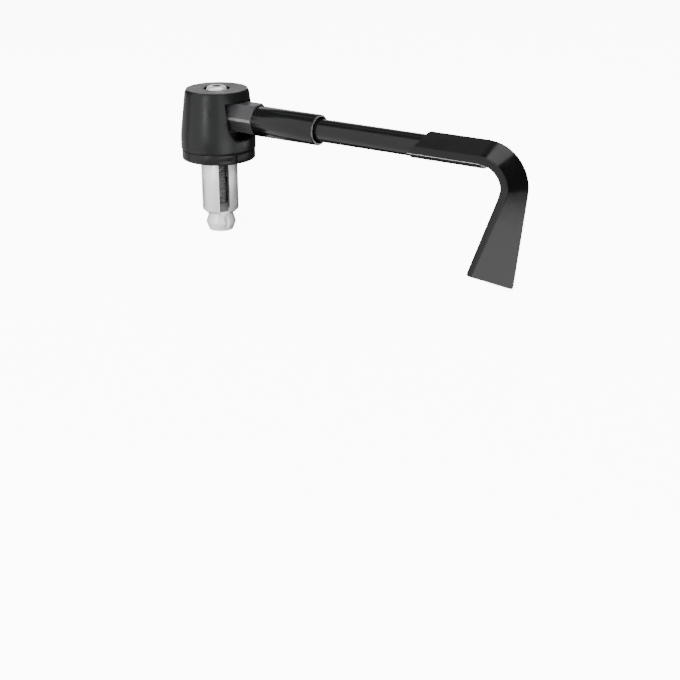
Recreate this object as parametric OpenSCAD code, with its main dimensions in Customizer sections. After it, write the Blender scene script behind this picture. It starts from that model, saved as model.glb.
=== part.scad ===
// Lever guard for the end of a motorcycle handlebar, in millimetres.
// The origin is the centre of the seat that meets the end of the handlebar.
// +Z runs out of the bar along the clamp bolt, and +X runs along the arm.

/* [Collet] */
// Outside diameter of the split collet, for a bar with an 18 mm bore
collet_d = 17; // [16:0.5:17.5]
// Length of the collet inside the bar
collet_len = 25.5; // [22:0.5:32]
// Length of the solid ring at the top of the collet
collet_ring_len = 9; // [6:0.5:11]
// Bore through the solid ring
collet_bore_d = 6.8; // [6.8:0.1:7.4]
// Wider bore of the split part
collet_wide_d = 11; // [10.4:0.1:11.6]
// Width of the open slot down the whole length
collet_slot_w = 4.9; // [4:0.1:5.5]
// Width of the three thin slits
collet_slit_w = 1; // [0.8:0.1:1.4]
// Direction of the open slot, counted from the arm
collet_slot_angle = -37; // [-60:1:-20]
// Angle from the open slot to the thin slits on either side of it
collet_slit_angle = 80; // [75:1:95]
// Diameter of the collet's top that sits in the base disc
collet_spigot_d = 16; // [14:0.2:16.2]
// Depth of the collet's top in the base disc
collet_spigot_h = 0.8; // [0.5:0.1:1.5]
// Chamfer round the lower edge
collet_chamfer = 1.2; // [0.6:0.1:1.6]

/* [Wedge nut] */
// Largest diameter of the wedge nut
wedge_d = 13.9; // [13:0.1:15]
// Length of the wedge nut below the collet
wedge_h = 8.9; // [8:0.1:11]
// Distance from the collet to the widest place
wedge_wide_drop = 5.1; // [4:0.1:6]
// Diameter of the wedge nut's lower end
wedge_foot_d = 11.2; // [10:0.1:12]
// Length of the cone inside the collet
wedge_in = 4; // [3:0.5:6]
// Width of the groove down the side
wedge_groove_w = 2; // [1.4:0.1:2.6]
// Direction of the groove, counted from the arm
wedge_groove_angle = -25; // [-40:1:-10]

/* [Clamp bolt] */
// Diameter of the bolt's shank
bolt_d = 6; // [5.5:0.1:6]
// Diameter of the button head
bolt_head_d = 10; // [9:0.1:11]
// Height of the button head
bolt_head_h = 3.3; // [3:0.1:3.8]
// Width across the flats of the hexagon socket
bolt_key = 4; // [3:0.5:4]
// Length of the bolt's tip below the wedge nut
bolt_tip_out = 0.4; // [0.2:0.1:2]

/* [Base disc] */
// Inset of the base disc's edge from the widest place of the housing
disc_inset = 0.35; // [0.2:0.05:1]
// Thickness of the base disc
disc_h = 4.8; // [4:0.2:6]
// Width of the notch in the disc's edge
notch_w = 1.5; // [1:0.1:2.4]
// Direction of the notch, counted from the arm
notch_angle = -23; // [-30:1:-10]
// Height of the short slit in the disc's edge
slit_h = 0.7; // [0.4:0.1:1]
// Part of the disc's edge that the short slit takes, in degrees
slit_sweep = 23; // [12:1:40]

/* [Housing] */
// Height of the housing's top above the base disc
housing_h = 27.6; // [26.5:0.1:30]
// Diameter of the flat top
housing_top_d = 28.4; // [27:0.2:30]
// Width of the bevel round the flat top
housing_bevel_w = 0.7; // [0.4:0.1:1]
// Height of the bevel round the flat top
housing_bevel_h = 1.4; // [1:0.1:2]
// Widest diameter of the housing
housing_wide_d = 34.7; // [34:0.1:36]
// Height of the widest place above the base disc
housing_wide_h = 3.2; // [2:0.1:6]
// Distance from the widest place up to the straight part of the side
housing_arc_rise = 7; // [5:0.5:10]
// Radius of the housing's side near its foot, seen from the side
housing_side_r = 56.5; // [50:0.5:70]
// Wall of the housing
housing_wall = 2.4; // [2:0.1:2.8]
// Thickness of the roof under the bolt's head
housing_roof_t = 2.5; // [2:0.1:3]
// Diameter of the counterbore round the bolt's head
counterbore_d = 12.2; // [11.8:0.1:13]
// Depth of the counterbore
counterbore_depth = 2.2; // [1.6:0.1:2.8]
// Width of the window for the neck
window_w = 18.8; // [17.6:0.2:20]
// Width of the window at its lower edge
window_low_w = 13.8; // [12:0.2:15]
// Height of the slanted lower corners of the window
window_corner_h = 4.5; // [3:0.1:6]
// Height of the window's lower edge above the base disc
window_low_h = 5.7; // [4:0.1:7]

/* [Arm] */
// Width across the flats of the hexagonal neck
neck_af = 12.9; // [12:0.1:13.4]
// Height of the narrow flat on each side corner of the neck
neck_corner_h = 1.4; // [0.8:0.1:2]
// Distance from the bolt's axis to the end of the neck
neck_end_x = 24.5; // [23:0.5:28]
// Height of the neck's middle above the axis of the sleeve
neck_lift = 0.85; // [0:0.05:1]
// Gap between the neck and the roof of the housing
neck_roof_gap = 0.4; // [0.2:0.1:1]
// Diameter of the hub that the bolt passes through
hub_d = 18.4; // [16:0.2:20]
// Outside diameter of the sleeve
sleeve_d = 13.7; // [13:0.1:14.4]
// Length of the sleeve
sleeve_len = 33.5; // [30:0.5:40]
// Diameter of the wider mouth at the sleeve's open end
sleeve_mouth_d = 11.9; // [11:0.1:12.4]
// Depth of the wider mouth
sleeve_mouth_depth = 2.5; // [1.5:0.1:4]
// Length of the spigot that carries the sleeve
spigot_len = 5; // [3:0.5:7]
// Thread diameter of the lock screw
lock_screw_d = 4; // [3:0.5:5]
// Distance from the sleeve's mouth to the lock screw
lock_screw_back = 12; // [8:0.5:16]

/* [Extension rod] */
// Diameter of the extension rod
rod_d = 10.1; // [9.6:0.1:10.4]
// Length of the extension rod
rod_len = 104; // [94:1:124]
// Chamfer at each end of the rod
rod_chamfer = 0.8; // [0.4:0.1:1.2]
// Gap between the rod and the end of the spigot
rod_back_gap = 0.5; // [0.3:0.1:1]

/* [Blade] */
// Length of the rod inside the blade's socket
socket_depth = 25.5; // [20:0.5:30]
// Distance from the end of the rod to the bend
bend_beyond_rod = 9.7; // [6:0.1:14]
// Thickness of plastic over the rod at the blade's outer face
socket_cover = 1.35; // [1.2:0.05:2]
// Slope of the outer face across the blade, in degrees
face_slope = 30; // [26:1:34]
// Reach of the blade's front edge from the rod's axis
face_front = 9.55; // [9:0.05:10.5]
// Distance of the ridge from the rod's axis
face_ridge = 0.7; // [0.4:0.1:1]
// Radius of the bend along the outer face
bend_r = 19.1; // [18:0.1:22]
// Thickness of the blade at the bend
blade_t = 3.5; // [3:0.1:3.8]
// Thickness of the blade at its tip
tip_t = 2.6; // [2:0.1:3]
// Length of the blade below the bend along its back edge
blade_back_len = 41.7; // [39:0.1:56]
// Length of the blade below the bend along its front edge
blade_front_len = 33; // [30:0.1:36]
// Spread of the front edge for each millimetre down the blade
flare_front = 0.42; // [0.3:0.01:0.5]
// Slant of the back edge for each millimetre down the blade
flare_back = 0.12; // [0.04:0.01:0.2]
// Rounding of the front corner at the tip
tip_front_r = 1.2; // [0.6:0.1:1.6]
// Rounding of the back corner at the tip
tip_back_r = 0.8; // [0.6:0.1:1.6]
// Distance of the socket's slanted end behind its lowest point, at the blade's lower front edge
socket_end_low = 0.6; // [0.2:0.1:1.5]
// Distance of the socket's slanted end behind its lowest point, at the blade's front edge
socket_end_front = 3.9; // [2:0.1:5]
// Distance of the socket's slanted end behind its lowest point, at the ridge
socket_end_ridge = 6.1; // [5:0.1:9]
// Rounding of the blade's end at the ridge
socket_end_r = 1.6; // [0.8:0.1:2]
// Height of the rod's lower side that shows under the socket
socket_rod_show = 0.75; // [0.4:0.05:1]
// Height of the leg behind the rod, below the rod's lower side
socket_leg_h = 0.95; // [0.4:0.05:1.5]
// Inset of the socket's lower bevel from the blade's front edge
socket_inset = 0.5; // [0.3:0.1:1]
// Height of the narrow bevel along the socket's lower edge
socket_bevel_h = 0.85; // [0.5:0.05:1.2]
// Height of the slot that shows the rod at the back of the socket
socket_slot_h = 4; // [3:0.1:4.6]
// Distance from the slot's closed end to the bend
socket_slot_back = 6.7; // [5:0.1:12]
// Wall of the socket behind the rod
socket_wall = 1.55; // [1.3:0.05:2]

/* [Hidden] */

// Facets of large and small round features
round_fn = 96;
small_fn = 48;
arc_steps = 5;
side_steps = 8;
// Length by which a cut runs past a face
past = 1;
// Clearances between pieces
slide_clear = 0.05;
thread_clear = 0.05;
pass_clear = 0.4;
wedge_clear = 0.15;
seam_clear = 0.1;
screw_clear = 0.02;
screw_tip_clear = 0.1;
// Small chamfer on turned edges
edge = 0.4;

// Heights along the bolt
housing_top = disc_h + housing_h;
bolt_seat_z = housing_top - counterbore_depth;
roof_z = bolt_seat_z - housing_roof_t;
housing_foot_z = disc_h + seam_clear;
housing_wide_z = disc_h + housing_wide_h;
neck_z = roof_z - neck_roof_gap - neck_af / 2;
arm_z = neck_z - neck_lift;
window_low_z = disc_h + window_low_h;
wedge_wide_z = -collet_len - wedge_wide_drop;
wedge_low_z = -collet_len - wedge_h;
bolt_tip_z = wedge_low_z - bolt_tip_out;
bolt_r = bolt_d / 2;
bolt_hole_r = bolt_r + pass_clear;

disc_r = housing_wide_d / 2 - disc_inset;
collet_r = collet_d / 2;

// Outline of the housing's side: a straight cone that runs into an arc near the foot
housing_shoulder_z = housing_top - housing_bevel_h;
housing_shoulder_r = housing_top_d / 2 + housing_bevel_w;
housing_wide_r = housing_wide_d / 2;
// Height at which the arc leaves the cone
housing_arc_z = housing_wide_z + housing_arc_rise;
function housing_arc_r(z) =
    housing_wide_r - housing_side_r + sqrt(pow(housing_side_r, 2) - pow(z - housing_wide_z, 2));
housing_side = [
    for (i = [0 : side_steps])
        let(z = housing_arc_z + (housing_foot_z - housing_arc_z) * i / side_steps)
        [housing_arc_r(z), z]
];
cavity_low_r = housing_arc_r(housing_foot_z) - housing_wall;
cavity_top_r = housing_shoulder_r - housing_wall + edge;

// Places along the arm
sleeve_end_x = neck_end_x + sleeve_len;
sleeve_bore_r = rod_d / 2 + slide_clear;
rod_r = rod_d / 2;
rod_start_x = neck_end_x + spigot_len + rod_back_gap;
rod_end_x = rod_start_x + rod_len;
socket_x = rod_end_x - socket_depth;
bend_x = rod_end_x + bend_beyond_rod;
lock_x = sleeve_end_x - lock_screw_back;
lock_r = lock_screw_d / 2;

// The blade's outer face: its height over the rod's axis, and the centre of the bend
face_height = (rod_r + socket_cover) / cos(face_slope);
bend_z = arm_z + face_height - bend_r;
ridge_z = face_height - face_ridge * tan(face_slope);
front_z = face_height - face_front * tan(face_slope);
socket_back_y = rod_r + socket_wall;

// Lower part of the socket's outline as [y, height over the rod's axis]
socket_low_z = -rod_r + socket_rod_show;
socket_leg_low_z = -rod_r - socket_leg_h;
socket_bevel = [
    [-face_front + socket_inset, front_z - blade_t - socket_inset / 2],
    [-rod_r - socket_cover, socket_low_z + socket_bevel_h],
    [-rod_r, socket_low_z]
];

// Points of a corner at b, rounded by an arc that is tangent to both of its sides
function rounded_corner(a, b, c, r) =
    let(
        u = (a - b) / norm(a - b),
        w = (c - b) / norm(c - b),
        half = acos(u * w) / 2,
        reach = r / tan(half),
        middle = b + (u + w) / norm(u + w) * r / sin(half),
        from = b + u * reach - middle,
        to = b + w * reach - middle,
        side = from[0] * to[1] - from[1] * to[0] > 0 ? 1 : -1,
        sweep = side * (180 - 2 * half)
    )
    [for (i = [0 : arc_steps])
        let(t = sweep * i / arc_steps)
        middle + [from[0] * cos(t) - from[1] * sin(t), from[0] * sin(t) + from[1] * cos(t)]];

// An outline with corners [x, y, radius]; a corner of radius 0 is left sharp
function rounded_outline(corners) =
    let(n = len(corners), points = [for (c = corners) [c[0], c[1]]])
    [for (i = [0 : n - 1])
        each (corners[i][2] == 0
            ? [points[i]]
            : rounded_corner(
                points[(i + n - 1) % n], points[i], points[(i + 1) % n], corners[i][2]))];

// Turns a profile of [radius, distance along the arm] round the arm's axis
module turned_on_arm(profile) {
    translate([0, 0, arm_z])
        rotate([0, 90, 0])
            rotate_extrude($fn = round_fn)
                polygon(profile);
}

// Extrudes a [y, height] outline along the arm
module along_arm(start_x, length) {
    translate([start_x, 0, arm_z])
        rotate([90, 0, 90])
            linear_extrude(height = length)
                children();
}

// Extrudes an [x, height] outline across the arm, as wide as the whole part
module across_arm() {
    translate([0, housing_wide_d, arm_z])
        rotate([90, 0, 0])
            linear_extrude(height = 2 * housing_wide_d)
                children();
}

module base_disc() {
    notch_depth = 1.2;
    slit_depth = 1;
    slit_gap = 5;
    recess_r = collet_r + seam_clear;
    color("#2b2c2e")
    difference() {
        rotate_extrude($fn = round_fn)
            polygon([
                [bolt_hole_r, collet_spigot_h], [recess_r, collet_spigot_h], [recess_r, 0],
                [disc_r - edge, 0], [disc_r, edge], [disc_r, disc_h - edge],
                [disc_r - edge, disc_h], [bolt_hole_r, disc_h]
            ]);
        rotate([0, 0, notch_angle])
            translate([disc_r - notch_depth, -notch_w / 2, disc_h / 4])
                cube([notch_depth + past, notch_w, disc_h]);
        rotate([0, 0, notch_angle - slit_gap - slit_sweep])
            rotate_extrude(angle = slit_sweep, $fn = round_fn)
                translate([disc_r - slit_depth, (disc_h - slit_h) / 2])
                    square([slit_depth + past, slit_h]);
    }
}

module collet() {
    wide_r = collet_wide_d / 2;
    spigot_r = collet_spigot_d / 2;
    // Kept a little off the point opposite the open slot
    back_slit_angle = 174;
    color("#d9d9d6")
    difference() {
        rotate_extrude($fn = round_fn)
            polygon([
                [collet_bore_d / 2, collet_spigot_h], [spigot_r, collet_spigot_h],
                [spigot_r, 0], [collet_r, 0], [collet_r, -collet_len + collet_chamfer],
                [collet_r - collet_chamfer, -collet_len], [wide_r, -collet_len],
                [wide_r, -collet_ring_len], [collet_bore_d / 2, -collet_ring_len]
            ]);
        rotate([0, 0, collet_slot_angle])
            translate([0, -collet_slot_w / 2, -collet_len - past])
                cube([collet_d, collet_slot_w, collet_len + collet_spigot_h + 2 * past]);
        for (turn = [collet_slit_angle, back_slit_angle, 360 - collet_slit_angle])
            rotate([0, 0, collet_slot_angle + turn])
                translate([0, -collet_slit_w / 2, -collet_len - past])
                    cube([collet_d, collet_slit_w, collet_len - collet_ring_len + past]);
    }
}

module wedge_nut() {
    groove_depth = 1.1;
    nose_z = -collet_len + wedge_in;
    collar_r = collet_wide_d / 2 - wedge_clear;
    cone_slope = (wedge_d / 2 - collar_r) / wedge_wide_drop;
    color("#c9c9c5")
    difference() {
        rotate_extrude($fn = round_fn)
            polygon([
                [bolt_r + thread_clear, nose_z], [collar_r - wedge_in * cone_slope, nose_z],
                [wedge_d / 2, wedge_wide_z], [wedge_d / 2, wedge_wide_z - edge],
                [wedge_foot_d / 2, wedge_low_z], [bolt_r + thread_clear, wedge_low_z]
            ]);
        rotate([0, 0, wedge_groove_angle])
            translate([wedge_d / 2 - groove_depth, -wedge_groove_w / 2, wedge_low_z - past])
                cube([groove_depth + past, wedge_groove_w, wedge_h + past]);
    }
}

module clamp_bolt() {
    head_r = bolt_head_d / 2;
    rim_h = 0.9;
    crown_r = bolt_key / sqrt(3) + 0.7;
    key_depth = bolt_head_h * 0.65;
    tip_chamfer = 0.7;
    head_top = bolt_seat_z + bolt_head_h;
    color("#c4c4c2")
    difference() {
        rotate_extrude($fn = round_fn)
            polygon(rounded_outline([
                [0, head_top, 0], [crown_r, head_top, 0.6], [head_r, bolt_seat_z + rim_h, 0.4],
                [head_r, bolt_seat_z, 0], [bolt_r, bolt_seat_z, 0],
                [bolt_r, bolt_tip_z + tip_chamfer, 0], [bolt_r - tip_chamfer, bolt_tip_z, 0],
                [0, bolt_tip_z, 0]
            ]));
        translate([0, 0, head_top - key_depth])
            cylinder(d = bolt_key * 2 / sqrt(3), h = key_depth + past, $fn = 6);
    }
}

module housing() {
    window_shoulder_z = window_low_z + window_corner_h;
    half_w = window_w / 2;
    low_half_w = window_low_w / 2;
    color("#2f3032")
    difference() {
        rotate_extrude($fn = round_fn)
            polygon(concat(
                [[bolt_hole_r, bolt_seat_z], [counterbore_d / 2, bolt_seat_z],
                    [counterbore_d / 2, housing_top], [housing_top_d / 2, housing_top],
                    [housing_shoulder_r, housing_shoulder_z]],
                housing_side,
                [[cavity_low_r, housing_foot_z], [cavity_top_r, roof_z], [bolt_hole_r, roof_z]]
            ));
        rotate([90, 0, 90])
            linear_extrude(height = housing_wide_r + past)
                polygon(rounded_outline([
                    [-half_w, roof_z, 0], [-half_w, window_shoulder_z, 2],
                    [-low_half_w, window_low_z, 1.2], [low_half_w, window_low_z, 1.2],
                    [half_w, window_shoulder_z, 2], [half_w, roof_z, 0]
                ]));
    }
}

module arm_neck() {
    end_chamfer = 1.2;
    spigot_r = rod_r;
    spigot_end_x = neck_end_x + spigot_len;
    corner_r = neck_af / sqrt(3);
    bar_corner_y = corner_r - neck_corner_h / 2 * tan(30);
    color("#3a3b3d")
    difference() {
        union() {
            translate([0, 0, disc_h + seam_clear])
                cylinder(d = hub_d, h = roof_z - disc_h - seam_clear, $fn = round_fn);
            intersection() {
                translate([0, 0, neck_z])
                    rotate([90, 0, 90])
                        cylinder(r = corner_r, h = neck_end_x, $fn = 6);
                translate([0, -bar_corner_y, neck_z - neck_af])
                    cube([neck_end_x, 2 * bar_corner_y, 2 * neck_af]);
                translate([0, 0, neck_z])
                    rotate([0, 90, 0])
                        rotate_extrude($fn = round_fn)
                            polygon([
                                [0, 0], [corner_r + past, 0],
                                [corner_r + past, neck_end_x - end_chamfer - past],
                                [corner_r - end_chamfer, neck_end_x], [0, neck_end_x]
                            ]);
            }
            turned_on_arm([
                [0, 0], [spigot_r, 0], [spigot_r, spigot_end_x - edge],
                [spigot_r - edge, spigot_end_x], [0, spigot_end_x]
            ]);
        }
        cylinder(r = bolt_hole_r, h = housing_top, $fn = small_fn);
    }
}

module sleeve() {
    sleeve_r = sleeve_d / 2;
    mouth_x = sleeve_end_x - sleeve_mouth_depth;
    color("#242527")
    difference() {
        turned_on_arm([
            [sleeve_bore_r, neck_end_x], [sleeve_r, neck_end_x],
            [sleeve_r, sleeve_end_x - edge], [sleeve_r - edge, sleeve_end_x],
            [sleeve_mouth_d / 2, sleeve_end_x], [sleeve_mouth_d / 2, mouth_x],
            [sleeve_bore_r, mouth_x]
        ]);
        translate([lock_x, 0, arm_z])
            rotate([-90, 0, 0])
                cylinder(r = lock_r, h = sleeve_d, $fn = small_fn);
    }
}

module lock_screw() {
    tip_y = rod_r + screw_tip_clear;
    screw_len = sleeve_d / 2 - tip_y - screw_clear;
    key_af = 2;
    key_depth = screw_len * 0.6;
    color("#1d1d1e")
    translate([lock_x, tip_y, arm_z])
        rotate([-90, 0, 0])
            difference() {
                cylinder(r = lock_r - screw_clear, h = screw_len, $fn = small_fn);
                translate([0, 0, screw_len - key_depth])
                    cylinder(d = key_af * 2 / sqrt(3), h = key_depth + past, $fn = 6);
            }
}

module extension_rod() {
    dimple_d = 3;
    dimple_depth = 0.6;
    color("#242527")
    difference() {
        turned_on_arm([
            [0, rod_start_x], [rod_r - rod_chamfer, rod_start_x],
            [rod_r, rod_start_x + rod_chamfer], [rod_r, rod_end_x - rod_chamfer],
            [rod_r - rod_chamfer, rod_end_x], [0, rod_end_x]
        ]);
        translate([lock_x, rod_r - dimple_depth, arm_z])
            rotate([-90, 0, 0])
                cylinder(d = dimple_d, h = dimple_depth + past, $fn = small_fn);
    }
}

// Section of the blade at the bend as [y, height over the rod's axis]
strip_section = [
    [-face_front, front_z], [-face_front, front_z - blade_t],
    [-face_ridge, ridge_z - blade_t], [-face_ridge, ridge_z]
];

// Slab that holds the part of the blade below the bend: flat outside, thinner toward the tip
module blade_slab() {
    reach_front = face_front + blade_back_len;
    outer_x = bend_x + bend_r;
    down = blade_back_len + past;
    low_t = blade_t + (tip_t - blade_t) * down / blade_back_len;
    rise_front = reach_front * tan(face_slope);
    rise_back = past * tan(face_slope);
    polyhedron(
        points = [
            [outer_x - rise_front, -reach_front, bend_z],
            [outer_x - rise_front - blade_t, -reach_front, bend_z],
            [outer_x + rise_back - blade_t, past, bend_z],
            [outer_x + rise_back, past, bend_z],
            [outer_x - rise_front, -reach_front, bend_z - down],
            [outer_x - rise_front - low_t, -reach_front, bend_z - down],
            [outer_x + rise_back - low_t, past, bend_z - down],
            [outer_x + rise_back, past, bend_z - down]
        ],
        faces = [
            [0, 1, 2, 3], [7, 6, 5, 4], [0, 4, 5, 1], [1, 5, 6, 2], [2, 6, 7, 3], [3, 7, 4, 0]
        ]
    );
}

module blade() {
    slot_end_x = bend_x - socket_slot_back;
    slot_r = socket_slot_h / 2;
    color("#1b1c1d")
    difference() {
        union() {
            intersection() {
                along_arm(socket_x, bend_x - socket_x)
                    union() {
                        polygon(strip_section);
                        polygon(concat(
                            [[-face_front, front_z]],
                            socket_bevel,
                            [[rod_r, socket_low_z], [rod_r, socket_leg_low_z],
                                [socket_back_y, socket_leg_low_z],
                                [socket_back_y, rod_r - socket_wall],
                                [-face_ridge, ridge_z]]
                        ));
                    }
                across_arm()
                    polygon(rounded_outline([
                        [bend_x + past, -sleeve_d, 0], [bend_x + past, ridge_z, 0],
                        [socket_x + socket_end_ridge, ridge_z, socket_end_r],
                        [socket_x + socket_end_front, front_z, 0],
                        [socket_x + socket_end_low, front_z - blade_t, 0],
                        [socket_x, socket_low_z, 0], [socket_x, -sleeve_d, 0]
                    ]));
            }
            translate([bend_x, 0, bend_z])
                rotate([-90, -90, 0])
                    rotate_extrude(angle = 90, $fn = round_fn)
                        polygon([
                            for (p = strip_section) [bend_r - face_height + p[1], p[0]]
                        ]);
            intersection() {
                blade_slab();
                translate([bend_x, 0, bend_z])
                    rotate([90, 0, 90])
                        linear_extrude(height = bend_r + past)
                            polygon(rounded_outline([
                                [-face_ridge, 0, 0], [-face_front, 0, 0],
                                [-face_front - flare_front * blade_front_len,
                                    -blade_front_len, tip_front_r],
                                [-face_ridge - flare_back * blade_back_len,
                                    -blade_back_len, tip_back_r]
                            ]));
            }
        }
        translate([socket_x - past, 0, arm_z])
            rotate([0, 90, 0])
                cylinder(r = rod_r, h = socket_depth + past, $fn = round_fn);
        translate([0, 0, arm_z])
            rotate([90, 0, 0])
                translate([0, 0, -socket_back_y - past])
                    linear_extrude(height = socket_back_y + past)
                        union() {
                            translate([socket_x - past, -slot_r])
                                square([slot_end_x - slot_r - socket_x + past, socket_slot_h]);
                            translate([slot_end_x - slot_r, 0])
                                circle(r = slot_r, $fn = small_fn);
                        }
    }
}

base_disc();
collet();
wedge_nut();
clamp_bolt();
housing();
arm_neck();
sleeve();
lock_screw();
extension_rod();
blade();
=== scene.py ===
# Lever guard for a handlebar end: a clamp housing, a sliding arm and a bent blade.
# Lengths are in millimetres unless a name says otherwise, in the row frame of the solids:
# the origin is the seat on the bar's end, +Z runs up the clamp bolt and +X along the arm.
# Meshes, lights and the camera are placed in metres, so mm turns one into the other.
import math

import bmesh
import bpy
import numpy as np
from mathutils import Matrix, Vector


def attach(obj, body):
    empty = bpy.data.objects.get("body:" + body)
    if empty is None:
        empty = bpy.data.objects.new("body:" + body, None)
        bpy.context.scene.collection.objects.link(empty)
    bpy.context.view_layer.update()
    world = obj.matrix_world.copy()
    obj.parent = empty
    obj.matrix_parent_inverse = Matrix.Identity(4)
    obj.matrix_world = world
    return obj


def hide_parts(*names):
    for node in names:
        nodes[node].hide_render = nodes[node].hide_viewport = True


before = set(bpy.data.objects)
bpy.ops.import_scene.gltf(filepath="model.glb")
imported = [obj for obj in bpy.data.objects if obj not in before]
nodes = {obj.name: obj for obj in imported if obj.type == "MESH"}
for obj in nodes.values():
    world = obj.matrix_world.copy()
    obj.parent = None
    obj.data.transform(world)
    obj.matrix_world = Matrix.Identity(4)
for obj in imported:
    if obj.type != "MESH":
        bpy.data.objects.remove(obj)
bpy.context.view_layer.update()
mm = 0.001


# Camera
# The photograph looks down on the guard from the front edge of the blade, a little from its tip.
# The camera is turned by angles round the origin and then moved sideways and up in its own plane.
camera_azimuth = math.radians(34.619)
camera_elevation = math.radians(20.995)
camera_roll = math.radians(-0.279)
camera_distance = 689.51
camera_side_offset = -56.46
camera_up_offset = 85.47
camera_lens = 78.19
camera_sensor = 36.0
camera_near_m = 0.01
camera_far_m = 20.0

back = Vector((
    math.sin(camera_azimuth) * math.cos(camera_elevation),
    -math.cos(camera_azimuth) * math.cos(camera_elevation),
    math.sin(camera_elevation),
))
level = Vector((math.cos(camera_azimuth), math.sin(camera_azimuth), 0.0))
upright = back.cross(level)
side = math.cos(camera_roll) * level + math.sin(camera_roll) * upright
up = math.cos(camera_roll) * upright - math.sin(camera_roll) * level
camera_place = back * camera_distance - side * camera_side_offset - up * camera_up_offset
camera_data = bpy.data.cameras.new("camera")
camera_data.lens = camera_lens
camera_data.sensor_width = camera_sensor
camera_data.clip_start = camera_near_m
camera_data.clip_end = camera_far_m
camera = bpy.data.objects.new("camera", camera_data)
bpy.context.scene.collection.objects.link(camera)
turn = Matrix((side, up, back)).transposed().to_4x4()
camera.matrix_world = Matrix.Translation(camera_place * mm) @ turn
bpy.context.scene.camera = camera


# Floor and light
# A pale matt floor just under the lowest point, and a world that is as bright where it ends. Two
# soft boxes light the matt surfaces, and a set of soft boxes that only glossy surfaces see gives
# the black parts their long soft reflections.
floor_z = -36.0
floor_half = 6000.0
floor_glow = 10.0
floor_colour = (0.9, 0.9, 0.9, 1.0)
floor_rough = 0.9
world_colour = (0.95, 0.97, 1.0, 1.0)
world_light = 0.1
white = (1.0, 1.0, 1.0, 1.0)

floor_mesh = bpy.data.meshes.new("floor")
floor_mesh.from_pydata(
    [(x * floor_half * mm, y * floor_half * mm, floor_z * mm)
     for x, y in ((-1, -1), (1, -1), (1, 1), (-1, 1))],
    [],
    [(0, 1, 2, 3)],
)
floor = bpy.data.objects.new("floor", floor_mesh)
bpy.context.scene.collection.objects.link(floor)
floor.visible_glossy = False
floor.visible_diffuse = False
floor_material = bpy.data.materials.new("floor_paper")
floor_material.use_nodes = True
floor_shader = floor_material.node_tree.nodes["Principled BSDF"]
floor_shader.inputs["Base Color"].default_value = floor_colour
floor_shader.inputs["Roughness"].default_value = floor_rough
floor_shader.inputs["Specular IOR Level"].default_value = 0.0
floor_shader.inputs["Emission Color"].default_value = white
floor_shader.inputs["Emission Strength"].default_value = floor_glow
floor_mesh.materials.append(floor_material)

world = bpy.data.worlds.new("studio")
world.use_nodes = True
world_tree = world.node_tree
world_shade = world_tree.nodes["Background"]
world_shade.inputs["Color"].default_value = world_colour
world_ray = world_tree.nodes.new("ShaderNodeLightPath")
world_strength = world_tree.nodes.new("ShaderNodeMapRange")
world_strength.inputs["To Min"].default_value = world_light
world_strength.inputs["To Max"].default_value = floor_glow
world_tree.links.new(world_ray.outputs["Is Camera Ray"], world_strength.inputs["Value"])
world_tree.links.new(world_strength.outputs["Result"], world_shade.inputs["Strength"])
bpy.context.scene.world = world


def soft_box(name, place, facing, width, height, radiance, glossy):
    """Rectangular area light that shines along facing; its power is pi * area * radiance."""
    data = bpy.data.lights.new(name, "AREA")
    data.shape = "RECTANGLE"
    data.size = width * mm
    data.size_y = height * mm
    data.energy = math.pi * width * height * mm * mm * radiance
    light = bpy.data.objects.new(name, data)
    bpy.context.scene.collection.objects.link(light)
    light.rotation_mode = "QUATERNION"
    light.rotation_quaternion = Vector(facing).to_track_quat("-Z", "Y")
    light.location = Vector(place) * mm
    light.visible_camera = False
    light.visible_glossy = glossy
    light.visible_diffuse = not glossy


# A box that lies flat leans by a thousandth, which makes its height run along Y.
facing_down = (0.0, 0.001, -1.0)
facing_up = (0.0, 0.001, 1.0)
facing_back = (0.0, 1.0, 0.0)
facing_right = (1.0, 0.0, 0.0)
overhead_z = 950.0
wall_y = -600.0
strip_y = wall_y + 5.0
below_z = -1000.0
low_right_end_x = 300.0
low_right_width = 155.0
low_right_x = low_right_end_x - 0.5 * low_right_width
low_right_z = floor_z + 1.0

soft_box("matt_overhead", (150.0, -60.0, overhead_z), facing_down,
         width=900.0, height=900.0, radiance=4.0, glossy=False)
soft_box("matt_front", (420.0, -1000.0, 320.0), (-0.42, 1.0, -0.32),
         width=900.0, height=900.0, radiance=10.0, glossy=False)
soft_box("gloss_overhead", (290.0, 120.0, overhead_z), facing_down,
         width=640.0, height=900.0, radiance=3.8, glossy=True)
soft_box("gloss_wall_left", (-650.0, wall_y, 250.0), facing_back,
         width=1200.0, height=2500.0, radiance=1.8, glossy=True)
soft_box("gloss_wall_right", (300.0, wall_y, 0.0), facing_back,
         width=500.0, height=2000.0, radiance=0.8, glossy=True)
soft_box("gloss_wall_far", (1300.0, wall_y, 0.0), facing_back,
         width=1500.0, height=2000.0, radiance=2.2, glossy=True)
soft_box("gloss_below", (-600.0, -350.0, below_z), facing_up,
         width=1900.0, height=600.0, radiance=1.8, glossy=True)
soft_box("gloss_left_low", (-600.0, 150.0, -320.0), facing_right,
         width=700.0, height=750.0, radiance=0.8, glossy=True)
soft_box("gloss_strip", (-10.0, strip_y, 205.0), facing_back,
         width=100.0, height=490.0, radiance=9.5, glossy=True)
soft_box("gloss_back", (-820.0, 1000.0, 430.0), (0.9, -1.0, -0.42),
         width=1400.0, height=420.0, radiance=1.25, glossy=True)
soft_box("gloss_top_line", (-560.0, 264.0, overhead_z), facing_down,
         width=700.0, height=120.0, radiance=0.8, glossy=True)
soft_box("gloss_low_right", (low_right_x, 0.0, low_right_z), facing_up,
         width=low_right_width, height=400.0, radiance=4.5, glossy=True)


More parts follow.
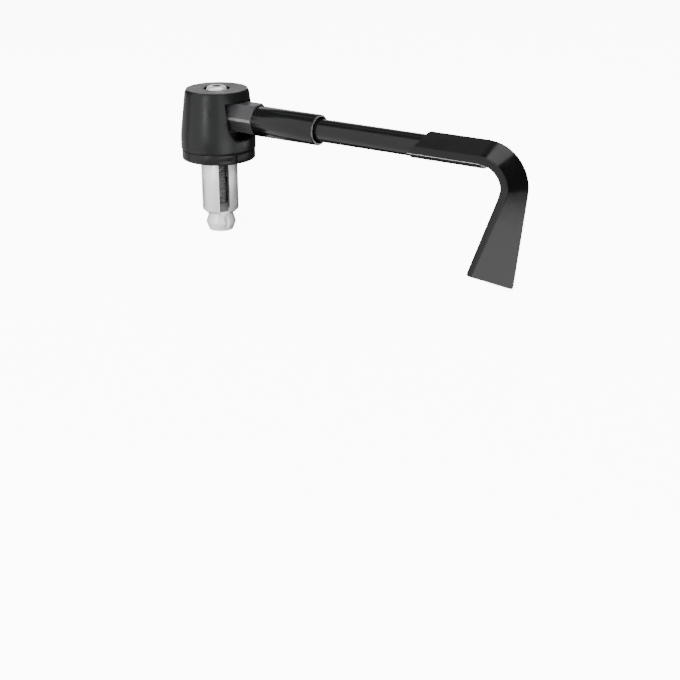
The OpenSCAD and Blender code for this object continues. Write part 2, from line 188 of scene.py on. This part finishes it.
# Base disc
# Black moulded disc that sits on the end of the bar, with a notch and a short slit in its edge.
# It is the same satin plastic as the housing above it.
FLOAT = "NodeSocketFloat"
VECTOR = "NodeSocketVector"
MIX_FIRST = 6
MIX_SECOND = 7
MIX_RESULT = 2
weld_reach_m = 0.000002
flat_angle = math.radians(0.6)
corner_angle = math.radians(25.0)


def new_group(name, inputs, outputs):
    """Empty shader node group with the given (name, kind, value) inputs and (name, kind) outputs."""
    group = bpy.data.node_groups.new(name, "ShaderNodeTree")
    for label, kind, value in inputs:
        socket = group.interface.new_socket(name=label, in_out="INPUT", socket_type=kind)
        socket.default_value = value
    for label, kind in outputs:
        group.interface.new_socket(name=label, in_out="OUTPUT", socket_type=kind)
    return group, group.nodes.new("NodeGroupInput").outputs, group.nodes.new("NodeGroupOutput").inputs


def add(tree, kind, links=(), **values):
    """Adds a node: values set its properties, and links maps each input to a socket or a constant."""
    node = tree.nodes.new(kind)
    for key, value in values.items():
        setattr(node, key, value)
    for key, source in dict(links).items():
        if isinstance(source, bpy.types.NodeSocket):
            tree.links.new(source, node.inputs[key])
        else:
            node.inputs[key].default_value = source
    return node


def own_place(tree):
    """Place on the object itself, in metres."""
    return add(tree, "ShaderNodeTexCoord").outputs["Object"]


def times(tree, first, second):
    """Product of two values."""
    return add(tree, "ShaderNodeMath", {0: first, 1: second}, operation="MULTIPLY").outputs[0]


# Grain: bump from fine noise plus Waves times a slow noise, Depth metres high.
grain, grain_in, grain_out = new_group(
    "fine_grain",
    [("Scale", FLOAT, 900.0), ("Depth", FLOAT, 0.00002), ("Waves", FLOAT, 0.0)],
    [("Normal", VECTOR)],
)
grain_place = own_place(grain)
fine_noise = add(
    grain, "ShaderNodeTexNoise", {"Vector": grain_place, "Scale": grain_in["Scale"], "Detail": 3.0})
slow_noise = add(grain, "ShaderNodeTexNoise", {"Vector": grain_place, "Scale": 70.0, "Detail": 1.0})
grain_height = add(
    grain, "ShaderNodeMath",
    {0: fine_noise.outputs["Fac"], 1: times(grain, slow_noise.outputs["Fac"], grain_in["Waves"])},
    operation="ADD")
grain_bump = add(
    grain, "ShaderNodeBump",
    {"Strength": 1.0, "Distance": grain_in["Depth"], "Height": grain_height.outputs[0]})
grain.links.new(grain_bump.outputs["Normal"], grain_out["Normal"])

# Patches: noise spread from Low to High.
patches, patches_in, patches_out = new_group(
    "soft_patches",
    [("Scale", FLOAT, 60.0), ("Low", FLOAT, 0.3), ("High", FLOAT, 0.5)],
    [("Value", FLOAT)],
)
patch_noise = add(
    patches, "ShaderNodeTexNoise",
    {"Vector": own_place(patches), "Scale": patches_in["Scale"], "Detail": 5.0})
patch_spread = add(
    patches, "ShaderNodeMapRange",
    {"Value": patch_noise.outputs["Fac"], "From Min": 0.3, "From Max": 0.7,
     "To Min": patches_in["Low"], "To Max": patches_in["High"]})
patches.links.new(patch_spread.outputs["Result"], patches_out["Value"])

# Specks: a dot of the given Size in the given Share of the cells.
specks, specks_in, specks_out = new_group(
    "dust_specks",
    [("Scale", FLOAT, 400.0), ("Size", FLOAT, 0.12), ("Share", FLOAT, 0.5)],
    [("Mask", FLOAT)],
)
cells = add(
    specks, "ShaderNodeTexVoronoi", {"Vector": own_place(specks), "Scale": specks_in["Scale"]})
cell_colour = add(specks, "ShaderNodeSeparateColor", {"Color": cells.outputs["Color"]})
dots = add(
    specks, "ShaderNodeMath", {0: cells.outputs["Distance"], 1: specks_in["Size"]},
    operation="LESS_THAN")
chosen = add(
    specks, "ShaderNodeMath", {0: cell_colour.outputs[0], 1: specks_in["Share"]},
    operation="LESS_THAN")
specks.links.new(times(specks, dots.outputs[0], chosen.outputs[0]), specks_out["Mask"])

# Wear: where the rounded normal turns away from the flat one, broken up by noise.
wear, wear_in, wear_out = new_group(
    "edge_wear",
    [("Radius", FLOAT, 0.0003), ("Amount", FLOAT, 1.0)],
    [("Mask", FLOAT)],
)
rounded = add(wear, "ShaderNodeBevel", {"Radius": wear_in["Radius"]}, samples=6)
flat = add(wear, "ShaderNodeNewGeometry")
agree = add(
    wear, "ShaderNodeVectorMath", {0: rounded.outputs[0], 1: flat.outputs["Normal"]},
    operation="DOT_PRODUCT")
edge = add(
    wear, "ShaderNodeMapRange",
    {"Value": agree.outputs["Value"], "From Min": 0.97, "From Max": 0.86, "To Min": 0.0, "To Max": 1.0})
broken = add(
    wear, "ShaderNodeTexNoise", {"Vector": own_place(wear), "Scale": 500.0, "Detail": 4.0})
uneven = add(
    wear, "ShaderNodeMapRange",
    {"Value": broken.outputs["Fac"], "From Min": 0.35, "From Max": 0.6, "To Min": 0.2, "To Max": 1.0})
worn_part = times(wear, edge.outputs["Result"], uneven.outputs["Result"])
wear.links.new(times(wear, worn_part, wear_in["Amount"]), wear_out["Mask"])


def use(tree, group, **values):
    """Puts a shared group into a material; values are its inputs."""
    node = tree.nodes.new("ShaderNodeGroup")
    node.node_tree = group
    for key, value in values.items():
        node.inputs[key].default_value = value
    return node


def surface(name, colour, worn_colour, rough, metal, wear_amount, grain_scale, grain_depth,
            waves=0.0, specular=0.25, speck_share=0.0, speck_size=0.12):
    """Principled material: colour * patches, with worn_colour where the larger of wear and specks is."""
    material = bpy.data.materials.new(name)
    material.use_nodes = True
    tree = material.node_tree
    shader = tree.nodes["Principled BSDF"]
    shader.inputs["Metallic"].default_value = metal
    shader.inputs["Specular IOR Level"].default_value = specular
    edges = use(tree, wear, Amount=wear_amount)
    dust = use(tree, specks, Share=speck_share, Size=speck_size)
    shade = use(tree, patches, Scale=45.0, Low=0.8, High=1.2)
    most = add(
        tree, "ShaderNodeMath", {0: edges.outputs["Mask"], 1: dust.outputs["Mask"]},
        operation="MAXIMUM")
    tinted = add(
        tree, "ShaderNodeVectorMath", {0: colour, "Scale": shade.outputs["Value"]},
        operation="SCALE")
    mix = add(
        tree, "ShaderNodeMix",
        {0: most.outputs[0], MIX_FIRST: tinted.outputs[0], MIX_SECOND: (*worn_colour, 1.0)},
        data_type="RGBA")
    mix.name = "worn_mix"
    tree.links.new(mix.outputs[MIX_RESULT], shader.inputs["Base Color"])
    gloss = use(tree, patches, Scale=150.0, Low=rough[0], High=rough[1])
    tree.links.new(gloss.outputs["Value"], shader.inputs["Roughness"])
    fine = use(tree, grain, Scale=grain_scale, Depth=grain_depth, Waves=waves)
    tree.links.new(fine.outputs["Normal"], shader.inputs["Normal"])
    return material


def dress(piece, material, edge_width):
    """Gives a piece its material and rounds the edges between its flat faces by edge_width."""
    piece.data.materials[0] = material
    weld = piece.modifiers.new("weld", "WELD")
    weld.merge_threshold = weld_reach_m
    plain = piece.modifiers.new("plain_faces", "DECIMATE")
    plain.decimate_type = "DISSOLVE"
    plain.angle_limit = flat_angle
    soft = piece.modifiers.new("soft_edges", "BEVEL")
    soft.width = edge_width * mm
    soft.segments = 2
    soft.limit_method = "ANGLE"
    soft.angle_limit = corner_angle
    soft.harden_normals = True


moulding = surface(
    "black_moulding", colour=(0.007, 0.0072, 0.0077), worn_colour=(0.05, 0.05, 0.05),
    rough=(0.26, 0.36), metal=0.0, wear_amount=0.25, grain_scale=1600.0, grain_depth=0.000012,
    waves=2.0, speck_share=0.1)
dress(nodes["base_disc"], moulding, edge_width=0.25)


# Collet
# Bright split tube that goes into the bar: turned aluminium, saw cut into segments below a
# solid ring, with one wide open slot that shows the bolt's thread.
# Inside the bore, over the height of the cuts, the aluminium is darkened to a dark grey. This is painted
# shade in the slits and the slot.
collet_inner_r = 8.3
collet_inner_soft = 0.1
collet_cut_low_z = -23.0
collet_cut_top_z = 5.0
collet_cut_soft = 0.2
collet_cut_shade_colour = (0.1, 0.1, 0.1)


def masked_band(tree, axis, low, high, soft):
    """Mask that is 1 where the object's coordinate lies between low and high, with soft sides."""
    along = add(tree, "ShaderNodeSeparateXYZ", {0: own_place(tree)}).outputs[axis]
    rise = add(
        tree, "ShaderNodeMapRange",
        {"Value": along, "From Min": (low - soft) * mm, "From Max": (low + soft) * mm})
    fall = add(
        tree, "ShaderNodeMapRange",
        {"Value": along, "From Min": (high + soft) * mm, "From Max": (high - soft) * mm})
    return times(tree, rise.outputs["Result"], fall.outputs["Result"])


def recolour(material, mask, colour):
    """Mixes another colour into the material's base colour where the mask is 1."""
    tree = material.node_tree
    worn = tree.nodes["worn_mix"].outputs[MIX_RESULT]
    mix = add(
        tree, "ShaderNodeMix", {0: mask, MIX_FIRST: worn, MIX_SECOND: (*colour, 1.0)},
        data_type="RGBA")
    tree.links.new(mix.outputs[MIX_RESULT], tree.nodes["Principled BSDF"].inputs["Base Color"])


aluminium = surface(
    "bare_aluminium", colour=(0.88, 0.88, 0.87), worn_colour=(0.95, 0.95, 0.94),
    rough=(0.28, 0.4), metal=0.3, wear_amount=0.4, grain_scale=1200.0, grain_depth=0.000006,
    waves=2.0, specular=0.5)
aluminium_tree = aluminium.node_tree
across_bar = add(
    aluminium_tree, "ShaderNodeVectorMath", {0: own_place(aluminium_tree), 1: (1.0, 1.0, 0.0)},
    operation="MULTIPLY")
from_axis = add(
    aluminium_tree, "ShaderNodeVectorMath", {0: across_bar.outputs[0]}, operation="LENGTH")
inside = add(
    aluminium_tree, "ShaderNodeMapRange",
    {"Value": from_axis.outputs["Value"], "From Min": (collet_inner_r + collet_inner_soft) * mm,
     "From Max": (collet_inner_r - collet_inner_soft) * mm})
cut_shade_height = masked_band(aluminium_tree, "Z", collet_cut_low_z, collet_cut_top_z, collet_cut_soft)
# Painted shade: the inner walls of the cuts are mixed to a dark grey.
recolour(aluminium, times(aluminium_tree, inside.outputs["Result"], cut_shade_height), collet_cut_shade_colour)
dress(nodes["collet"], aluminium, edge_width=0.2)


# Wedge nut
# Zinc-plated steel cone below the collet, drawn up by the bolt to spread the segments. Its nose
# stands inside the collet and is painted dark grey as painted shade.
nose_low_z = -25.2
nose_top_z = 5.0
nose_soft = 0.2
nose_shade_colour = (0.12, 0.12, 0.12)
zinc = surface(
    "zinc_steel", colour=(0.95, 0.95, 0.93), worn_colour=(0.97, 0.97, 0.96),
    rough=(0.26, 0.38), metal=0.2, wear_amount=0.4, grain_scale=1000.0, grain_depth=0.000008,
    waves=3.0, specular=0.5)
# Painted shade: the nose, from the collet's end upwards, is mixed to a dark grey.
recolour(zinc, masked_band(zinc.node_tree, "Z", nose_low_z, nose_top_z, nose_soft), nose_shade_colour)
dress(nodes["wedge_nut"], zinc, edge_width=0.3)


# Clamp bolt
# Bright M6 button-head bolt with a 4 mm hexagon socket and a rolled thread up to thread_top_z.
# It is one grid of rings from the middle of the socket's floor, over the head and down to the tip.
bolt_columns = 72
socket_across = 4.0
socket_floor_z = 31.355
socket_floor_rise = 0.25
socket_floor_sink = 0.1
socket_flare = 0.14
socket_rings = 2
head_top_z = 33.5
head_flat_r = 3.01
head_r = 5.0
head_rim_z = 31.1
head_bow_rings = 9
head_foot_z = 30.2
head_foot_round = 0.15
shank_r = 3.0
thread_pitch = 1.0
thread_depth = 0.42
thread_top_z = 28.0
thread_end_z = -34.1
# The thread and the tip are painted a darker grey than the head, as painted shade.
thread_shade_colour = (0.3, 0.3, 0.3)
thread_soft = 0.1
tip_z = -34.8
tip_r = 2.3
thread_low_z = tip_z - 1.0
rings_per_pitch = 8
bolt_sharp_angle = math.radians(32.0)

column_angle = np.arange(bolt_columns) * (2.0 * math.pi / bolt_columns)
hexagon_angle = np.mod(column_angle, math.pi / 3.0) - math.pi / 6.0
hexagon_r = 0.5 * socket_across / np.cos(hexagon_angle)


def level_ring(radius, z):
    """One ring of points: radius and height, each a number or one value per column."""
    return np.stack([np.broadcast_to(radius, bolt_columns), np.broadcast_to(z, bolt_columns)], axis=1)


def ring_quads(rows, columns):
    """Faces between rings: point r * columns + c joins the next ring and the next column round."""
    row, column = np.meshgrid(np.arange(rows - 1), np.arange(columns), indexing="ij")
    following = (column + 1) % columns
    quads = np.stack(
        [row * columns + column, (row + 1) * columns + column,
         (row + 1) * columns + following, row * columns + following], axis=2)
    return quads.reshape(-1, 4)


def ring_fan(first, columns, middle):
    """Triangles from the point numbered middle to each side of the ring that starts at first."""
    here = np.arange(columns)
    after = (here + 1) % columns
    return np.stack([np.full(columns, middle), first + after, first + here], axis=1)


def smooth_piece(name, points_m, faces):
    """Object at the origin with smooth faces through points given in metres."""
    mesh = bpy.data.meshes.new(name)
    mesh.from_pydata(points_m, [], faces)
    mesh.polygons.foreach_set("use_smooth", np.ones(len(mesh.polygons), dtype=bool))
    mesh.update()
    piece = bpy.data.objects.new(name, mesh)
    bpy.context.scene.collection.objects.link(piece)
    return piece


def turned_piece(name, rings, top_z, bottom_z):
    """Closed skin through rings of (radius, height), x = r cos a, y = r sin a, a point at each end."""
    rings = np.asarray(rings)
    rows, columns = rings.shape[:2]
    radius = rings[:, :, 0]
    points = np.stack(
        [radius * np.cos(column_angle), radius * np.sin(column_angle), rings[:, :, 1]], axis=2)
    points = np.concatenate([points.reshape(-1, 3), [[0.0, 0.0, top_z], [0.0, 0.0, bottom_z]]]) * mm
    top_middle = rows * columns
    top_fan = ring_fan(0, columns, top_middle)[:, ::-1]
    bottom_fan = ring_fan((rows - 1) * columns, columns, top_middle + 1)
    faces = ring_quads(rows, columns).tolist() + top_fan.tolist() + bottom_fan.tolist()
    return smooth_piece(name, points.tolist(), faces)


bolt_rings = [
    level_ring(0.5 * hexagon_r, socket_floor_z),
    level_ring(hexagon_r, socket_floor_z + socket_floor_rise),
    level_ring(hexagon_r, head_top_z - 0.5 * socket_flare),
    level_ring(hexagon_r + socket_flare, head_top_z),
]
for bow in np.linspace(0.0, 0.5 * math.pi, head_bow_rings):
    bolt_rings.append(level_ring(
        head_flat_r + (head_r - head_flat_r) * math.sin(bow),
        head_rim_z + (head_top_z - head_rim_z) * math.cos(bow)))
bolt_rings.append(level_ring(head_r, head_foot_z + head_foot_round))
bolt_rings.append(level_ring(head_r - head_foot_round, head_foot_z))
bolt_rings.append(level_ring(shank_r, head_foot_z))
bolt_rings.append(level_ring(shank_r, thread_top_z))
thread_rings = round((thread_top_z - thread_end_z) * rings_per_pitch / thread_pitch)
for z in np.linspace(thread_top_z, thread_end_z, thread_rings + 1)[1:]:
    along = 2.0 * math.pi * z / thread_pitch - column_angle
    bolt_rings.append(level_ring(shank_r - thread_depth * (0.5 - 0.5 * np.cos(along)), z))
bolt_rings.append(level_ring(tip_r, tip_z))

stainless = surface(
    "stainless_steel", colour=(0.92, 0.92, 0.91), worn_colour=(0.95, 0.95, 0.95),
    rough=(0.18, 0.28), metal=0.5, wear_amount=0.3, grain_scale=1400.0, grain_depth=0.000004,
    waves=1.0, specular=0.5)
# Darker copy of the steel for the socket's walls and floor: painted shade inside the socket.
socket_shade_steel = surface(
    "socket_shade_steel", colour=(0.16, 0.16, 0.16), worn_colour=(0.3, 0.3, 0.3),
    rough=(0.3, 0.4), metal=0.65, wear_amount=0.2, grain_scale=1400.0, grain_depth=0.000004,
    waves=1.0, specular=0.5)
# Painted shade: the thread and the tip are mixed to a darker grey.
thread_shade_band = masked_band(stainless.node_tree, "Z", thread_low_z, thread_top_z, thread_soft)
recolour(stainless, thread_shade_band, thread_shade_colour)
bolt = turned_piece("bright_bolt", bolt_rings, socket_floor_z - socket_floor_sink, tip_z)
bolt.data.set_sharp_from_angle(angle=bolt_sharp_angle)
bolt.data.materials.append(stainless)
bolt.data.materials.append(socket_shade_steel)
# The socket's walls come first in the faces, and the fan of its floor comes before the tip's. They
# take the darker steel, a painted shade inside the socket.
bolt_faces = np.zeros(len(bolt.data.polygons), dtype=np.int32)
bolt_faces[:socket_rings * bolt_columns] = 1
bolt_faces[-2 * bolt_columns:-bolt_columns] = 1
bolt.data.polygons.foreach_set("material_index", bolt_faces)
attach(bolt, "bolt")
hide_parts("clamp_bolt")


# Housing
# Black moulded cone-shaped cover over the hub, with a counterbore for the bolt's head on top and
# a window through which the neck leaves.
dress(nodes["housing"], moulding, edge_width=0.45)


# Arm neck
# Milled hexagonal bar on a hub round the bolt, thinly blacked, so it is greyer than the sleeve.
# The corner flats are painted a lighter grey as a painted highlight, broken into fine streaks along the
# bar.
neck_mid_z = 20.85
flat_half = 0.62
flat_half_soft = 0.12
flat_front_y = -12.0
flat_back_y = -6.9
flat_back_soft = 0.1
flat_highlight_colour = (0.22, 0.22, 0.22)
blacked = surface(
    "milled_black", colour=(0.045, 0.045, 0.047), worn_colour=(0.15, 0.15, 0.15),
    rough=(0.3, 0.4), metal=0.3, wear_amount=0.3, grain_scale=1500.0, grain_depth=0.000006,
    waves=1.0, specular=0.35)
neck_tree = blacked.node_tree
# Painted highlight: the corner flats are mixed to a lighter grey in fine streaks along the bar.
flat_highlight_mask = times(
    neck_tree,
    masked_band(neck_tree, "Z", neck_mid_z - flat_half, neck_mid_z + flat_half, flat_half_soft),
    masked_band(neck_tree, "Y", flat_front_y, flat_back_y, flat_back_soft))
streak_place = add(
    neck_tree, "ShaderNodeMapping", {"Vector": own_place(neck_tree), "Scale": (1.0, 0.1, 0.25)})
highlight_streaks = add(
    neck_tree, "ShaderNodeTexNoise", {"Vector": streak_place.outputs[0], "Scale": 2200.0, "Detail": 2.0})
streak_depth = add(
    neck_tree, "ShaderNodeMapRange",
    {"Value": highlight_streaks.outputs["Fac"], "From Min": 0.35, "From Max": 0.65, "To Min": 0.45, "To Max": 1.0})
recolour(blacked, times(neck_tree, flat_highlight_mask, streak_depth.outputs["Result"]), flat_highlight_colour)
dress(nodes["arm_neck"], blacked, edge_width=0.25)


# Sleeve
# Black anodised aluminium tube that is fixed on the neck, and in which the rod slides. A thin
# painted highlight, lighter grey, runs round the cut end at its mouth.
mouth_x = 58.0
past_mouth_x = mouth_x + 1.0
rim_depth = 0.12
rim_soft = 0.04
rim_highlight_colour = (0.18, 0.18, 0.18)


def anodised_black(name):
    """Satin black anodised aluminium."""
    return surface(
        name, colour=(0.006, 0.0061, 0.0066), worn_colour=(0.08, 0.08, 0.08),
        rough=(0.14, 0.2), metal=0.1, wear_amount=0.25, grain_scale=1500.0, grain_depth=0.000004,
        waves=1.0, specular=0.3)


cut_end = anodised_black("anodised_cut_end")
# Painted highlight: a thin lighter grey band round the mouth's cut end.
rim_highlight_band = masked_band(cut_end.node_tree, "X", mouth_x - rim_depth, past_mouth_x, rim_soft)
recolour(cut_end, rim_highlight_band, rim_highlight_colour)
dress(nodes["sleeve"], cut_end, edge_width=0.15)


# Lock screw
# Small set screw of black steel in a threaded hole on the hidden side of the sleeve. It bears on
# the rod and holds it at the length that the rider sets.
black_steel = surface(
    "black_steel", colour=(0.008, 0.008, 0.0085), worn_colour=(0.08, 0.08, 0.08),
    rough=(0.3, 0.4), metal=0.4, wear_amount=0.4, grain_scale=1400.0, grain_depth=0.000006)
dress(nodes["lock_screw"], black_steel, edge_width=0.1)


# Extension rod
# Round aluminium rod, anodised black like the sleeve that it slides in. Its outer end is fixed in
# the blade's socket.
anodised = anodised_black("black_anodised")
dress(nodes["extension_rod"], anodised, edge_width=0.2)


# Blade
# Black glossy plastic strip, moulded in one with the socket for the rod, bent down in a cone and
# widening to a slant-cut end. The socket is a cut copy of the solid, and the bend and the lower
# part are one smooth grid that carries on from it.
arm_z = 20.0
bend_x = 143.7
bend_r = 19.1
face_height = 7.39
face_front = 9.55
face_ridge = 0.7
face_rise = math.tan(math.radians(30.0))
blade_t = 3.5
tip_t = 2.6
front_len = 33.0
back_len = 41.7
front_flare = 0.42
back_flare = 0.12
flare_reach = 4.0
tip_front_r = 1.2
tip_back_r = 0.8
strip_round = 0.3
cut_gap = 0.02
cut_reach_m = 0.0000001
# A thin lighter grey line along the socket's lower front edge is a painted highlight.
highlight_line_z = 18.45
highlight_line_half = 0.2
highlight_line_half_soft = 0.06
highlight_line_front_y = -10.0
highlight_line_back_y = -8.6
highlight_line_back_soft = 0.05
highlight_line_colour = (0.4, 0.4, 0.4)
bend_steps = 90
plate_steps = 70
tip_steps = 10
cap_steps = 4
round_points = 7
side_shares = (0.02, 0.25, 0.5, 0.75, 0.98)
quarter_turn = 0.5 * math.pi
bend_z = arm_z + face_height - bend_r


def smooth_flare(distance, rate):
    """0 before -reach, rate * d past reach, and rate * (d + reach)^2 / (4 * reach) between them."""
    eased = rate * (distance + flare_reach) ** 2 / (4.0 * flare_reach)
    return np.where(
        distance < -flare_reach, 0.0, np.where(distance > flare_reach, rate * distance, eased))


def strip_point(turned, y, drop, depth):
    """x = bend_x + r sin a, z = bend_z + r cos a - drop, with r = bend_r + y * face_rise - depth."""
    radius = bend_r + y * face_rise - depth
    x = bend_x + radius * np.sin(turned)
    z = bend_z + radius * np.cos(turned) - drop
    return np.stack([x, y, z], axis=1)


def strip_corners():
    """Four corners of each cross-section, from the socket round the bend and down to the tip.

    Each edge lies at its own y, moved out by its flare. Below the bend it drops by an even share of
    its own length, and at the tip both edges draw in by r * (1 - cos a) to round the corners.
    """
    bend_turn = np.linspace(cut_gap / bend_r, quarter_turn, bend_steps)
    near_tip = 1.0 - tip_front_r / front_len
    plate_part = np.linspace(0.0, 1.0, plate_steps + 1)[1:]
    plate_part = plate_part[plate_part < near_tip]
    ease = np.linspace(0.0, quarter_turn, tip_steps + 1)
    tip_part = near_tip + (1.0 - near_tip) * np.sin(ease)
    below = np.concatenate([plate_part, tip_part])
    turned = np.concatenate([bend_turn, np.full(below.size, quarter_turn)])
    part = np.concatenate([np.zeros(bend_turn.size), below])
    before = (turned - quarter_turn) * bend_r
    front_drop = part * front_len
    back_drop = part * back_len
    front_y = -face_front - smooth_flare(before + front_drop, front_flare)
    back_y = -face_ridge - smooth_flare(before + back_drop, back_flare)
    inset = np.zeros(turned.size)
    inset[-tip_part.size:] = 1.0 - np.cos(ease)
    slant = (back_drop - front_drop) / (back_y - front_y)
    front_y = front_y + tip_front_r * inset
    front_drop = front_drop + tip_front_r * inset * slant
    back_y = back_y - tip_back_r * inset
    back_drop = back_drop - tip_back_r * inset * slant
    front_t = blade_t + (tip_t - blade_t) * front_drop / back_len
    back_t = blade_t + (tip_t - blade_t) * back_drop / back_len
    return np.stack([
        strip_point(turned, front_y, front_drop, 0.0),
        strip_point(turned, back_y, back_drop, 0.0),
        strip_point(turned, back_y, back_drop, back_t),
        strip_point(turned, front_y, front_drop, front_t),
    ], axis=1)


def rounded_rings(corners, radius):
    """Cross-sections with each corner as the curve (1-t)^2 A + 2t(1-t) C + t^2 B, in order round."""
    before = np.roll(corners, 1, axis=1) - corners
    after = np.roll(corners, -1, axis=1) - corners
    start = corners + radius * before / np.linalg.norm(before, axis=2, keepdims=True)
    end = corners + radius * after / np.linalg.norm(after, axis=2, keepdims=True)
    t = np.linspace(0.0, 1.0, round_points)[None, None, :, None]
    curve = ((1.0 - t) ** 2 * start[:, :, None] + 2.0 * t * (1.0 - t) * corners[:, :, None]
             + t ** 2 * end[:, :, None])
    share = np.array(side_shares)[None, None, :, None]
    side_end = np.roll(start, -1, axis=1)[:, :, None]
    straight = end[:, :, None] * (1.0 - share) + side_end * share
    return np.concatenate([curve, straight], axis=2).reshape(corners.shape[0], -1, 3)


def strip_piece(name):
    """Skin through the rings, open at the socket, with a closed end rounded by strip_round."""
    rings = rounded_rings(strip_corners(), strip_round)
    rim = rings[-1].copy()
    middle = rim.mean(axis=0)
    end_way = middle - rings[-2].mean(axis=0)
    end_way = end_way / np.linalg.norm(end_way)
    rings[-1] = rim - end_way * strip_round
    inward = middle - rim
    inward = inward / np.linalg.norm(inward, axis=1, keepdims=True)
    bow = np.linspace(0.0, quarter_turn, cap_steps + 1)[1:, None, None]
    caps = rim + strip_round * (inward * (1.0 - np.cos(bow)) + end_way * (np.sin(bow) - 1.0))
    rings = np.concatenate([rings, caps])
    rows, columns = rings.shape[:2]
    points = np.concatenate([rings.reshape(-1, 3), rings[-1].mean(axis=0)[None]]) * mm
    fan = ring_fan((rows - 1) * columns, columns, rows * columns)
    return smooth_piece(name, points.tolist(), ring_quads(rows, columns).tolist() + fan.tolist())


def glossy_black(name):
    """Glossy black moulded plastic with slow waves in its skin."""
    return surface(
        name, colour=(0.003, 0.003, 0.0032), worn_colour=(0.04, 0.04, 0.04),
        rough=(0.15, 0.21), metal=0.0, wear_amount=0.2, grain_scale=700.0, grain_depth=0.000003,
        waves=6.0, specular=0.25, speck_share=0.05, speck_size=0.07)


blade_plastic = glossy_black("blade_plastic")
socket_plastic = glossy_black("socket_plastic")
socket_tree = socket_plastic.node_tree
# Painted highlight: a thin lighter grey line on the socket's lower front edge.
highlight_line = times(
    socket_tree,
    masked_band(socket_tree, "Y", highlight_line_front_y, highlight_line_back_y, highlight_line_back_soft),
    masked_band(socket_tree, "Z", highlight_line_z - highlight_line_half, highlight_line_z + highlight_line_half, highlight_line_half_soft))
recolour(socket_plastic, highlight_line, highlight_line_colour)

socket_cut = bmesh.new()
socket_cut.from_mesh(nodes["blade"].data)
bmesh.ops.remove_doubles(socket_cut, verts=socket_cut.verts[:], dist=weld_reach_m)
bmesh.ops.bisect_plane(
    socket_cut, geom=socket_cut.verts[:] + socket_cut.edges[:] + socket_cut.faces[:],
    dist=cut_reach_m, plane_co=((bend_x + cut_gap) * mm, 0.0, 0.0), plane_no=(1.0, 0.0, 0.0),
    clear_outer=True)
socket_cut.verts.index_update()
blade_socket = smooth_piece(
    "blade_socket", [tuple(v.co) for v in socket_cut.verts],
    [[v.index for v in face.verts] for face in socket_cut.faces])
socket_cut.free()
blade_socket.data.set_sharp_from_angle(angle=corner_angle)
blade_socket.data.materials.append(socket_plastic)
dress(blade_socket, socket_plastic, edge_width=strip_round)
blade_strip = strip_piece("blade_strip")
blade_strip.data.materials.append(blade_plastic)
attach(blade_socket, "slider")
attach(blade_strip, "slider")
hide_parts("blade")
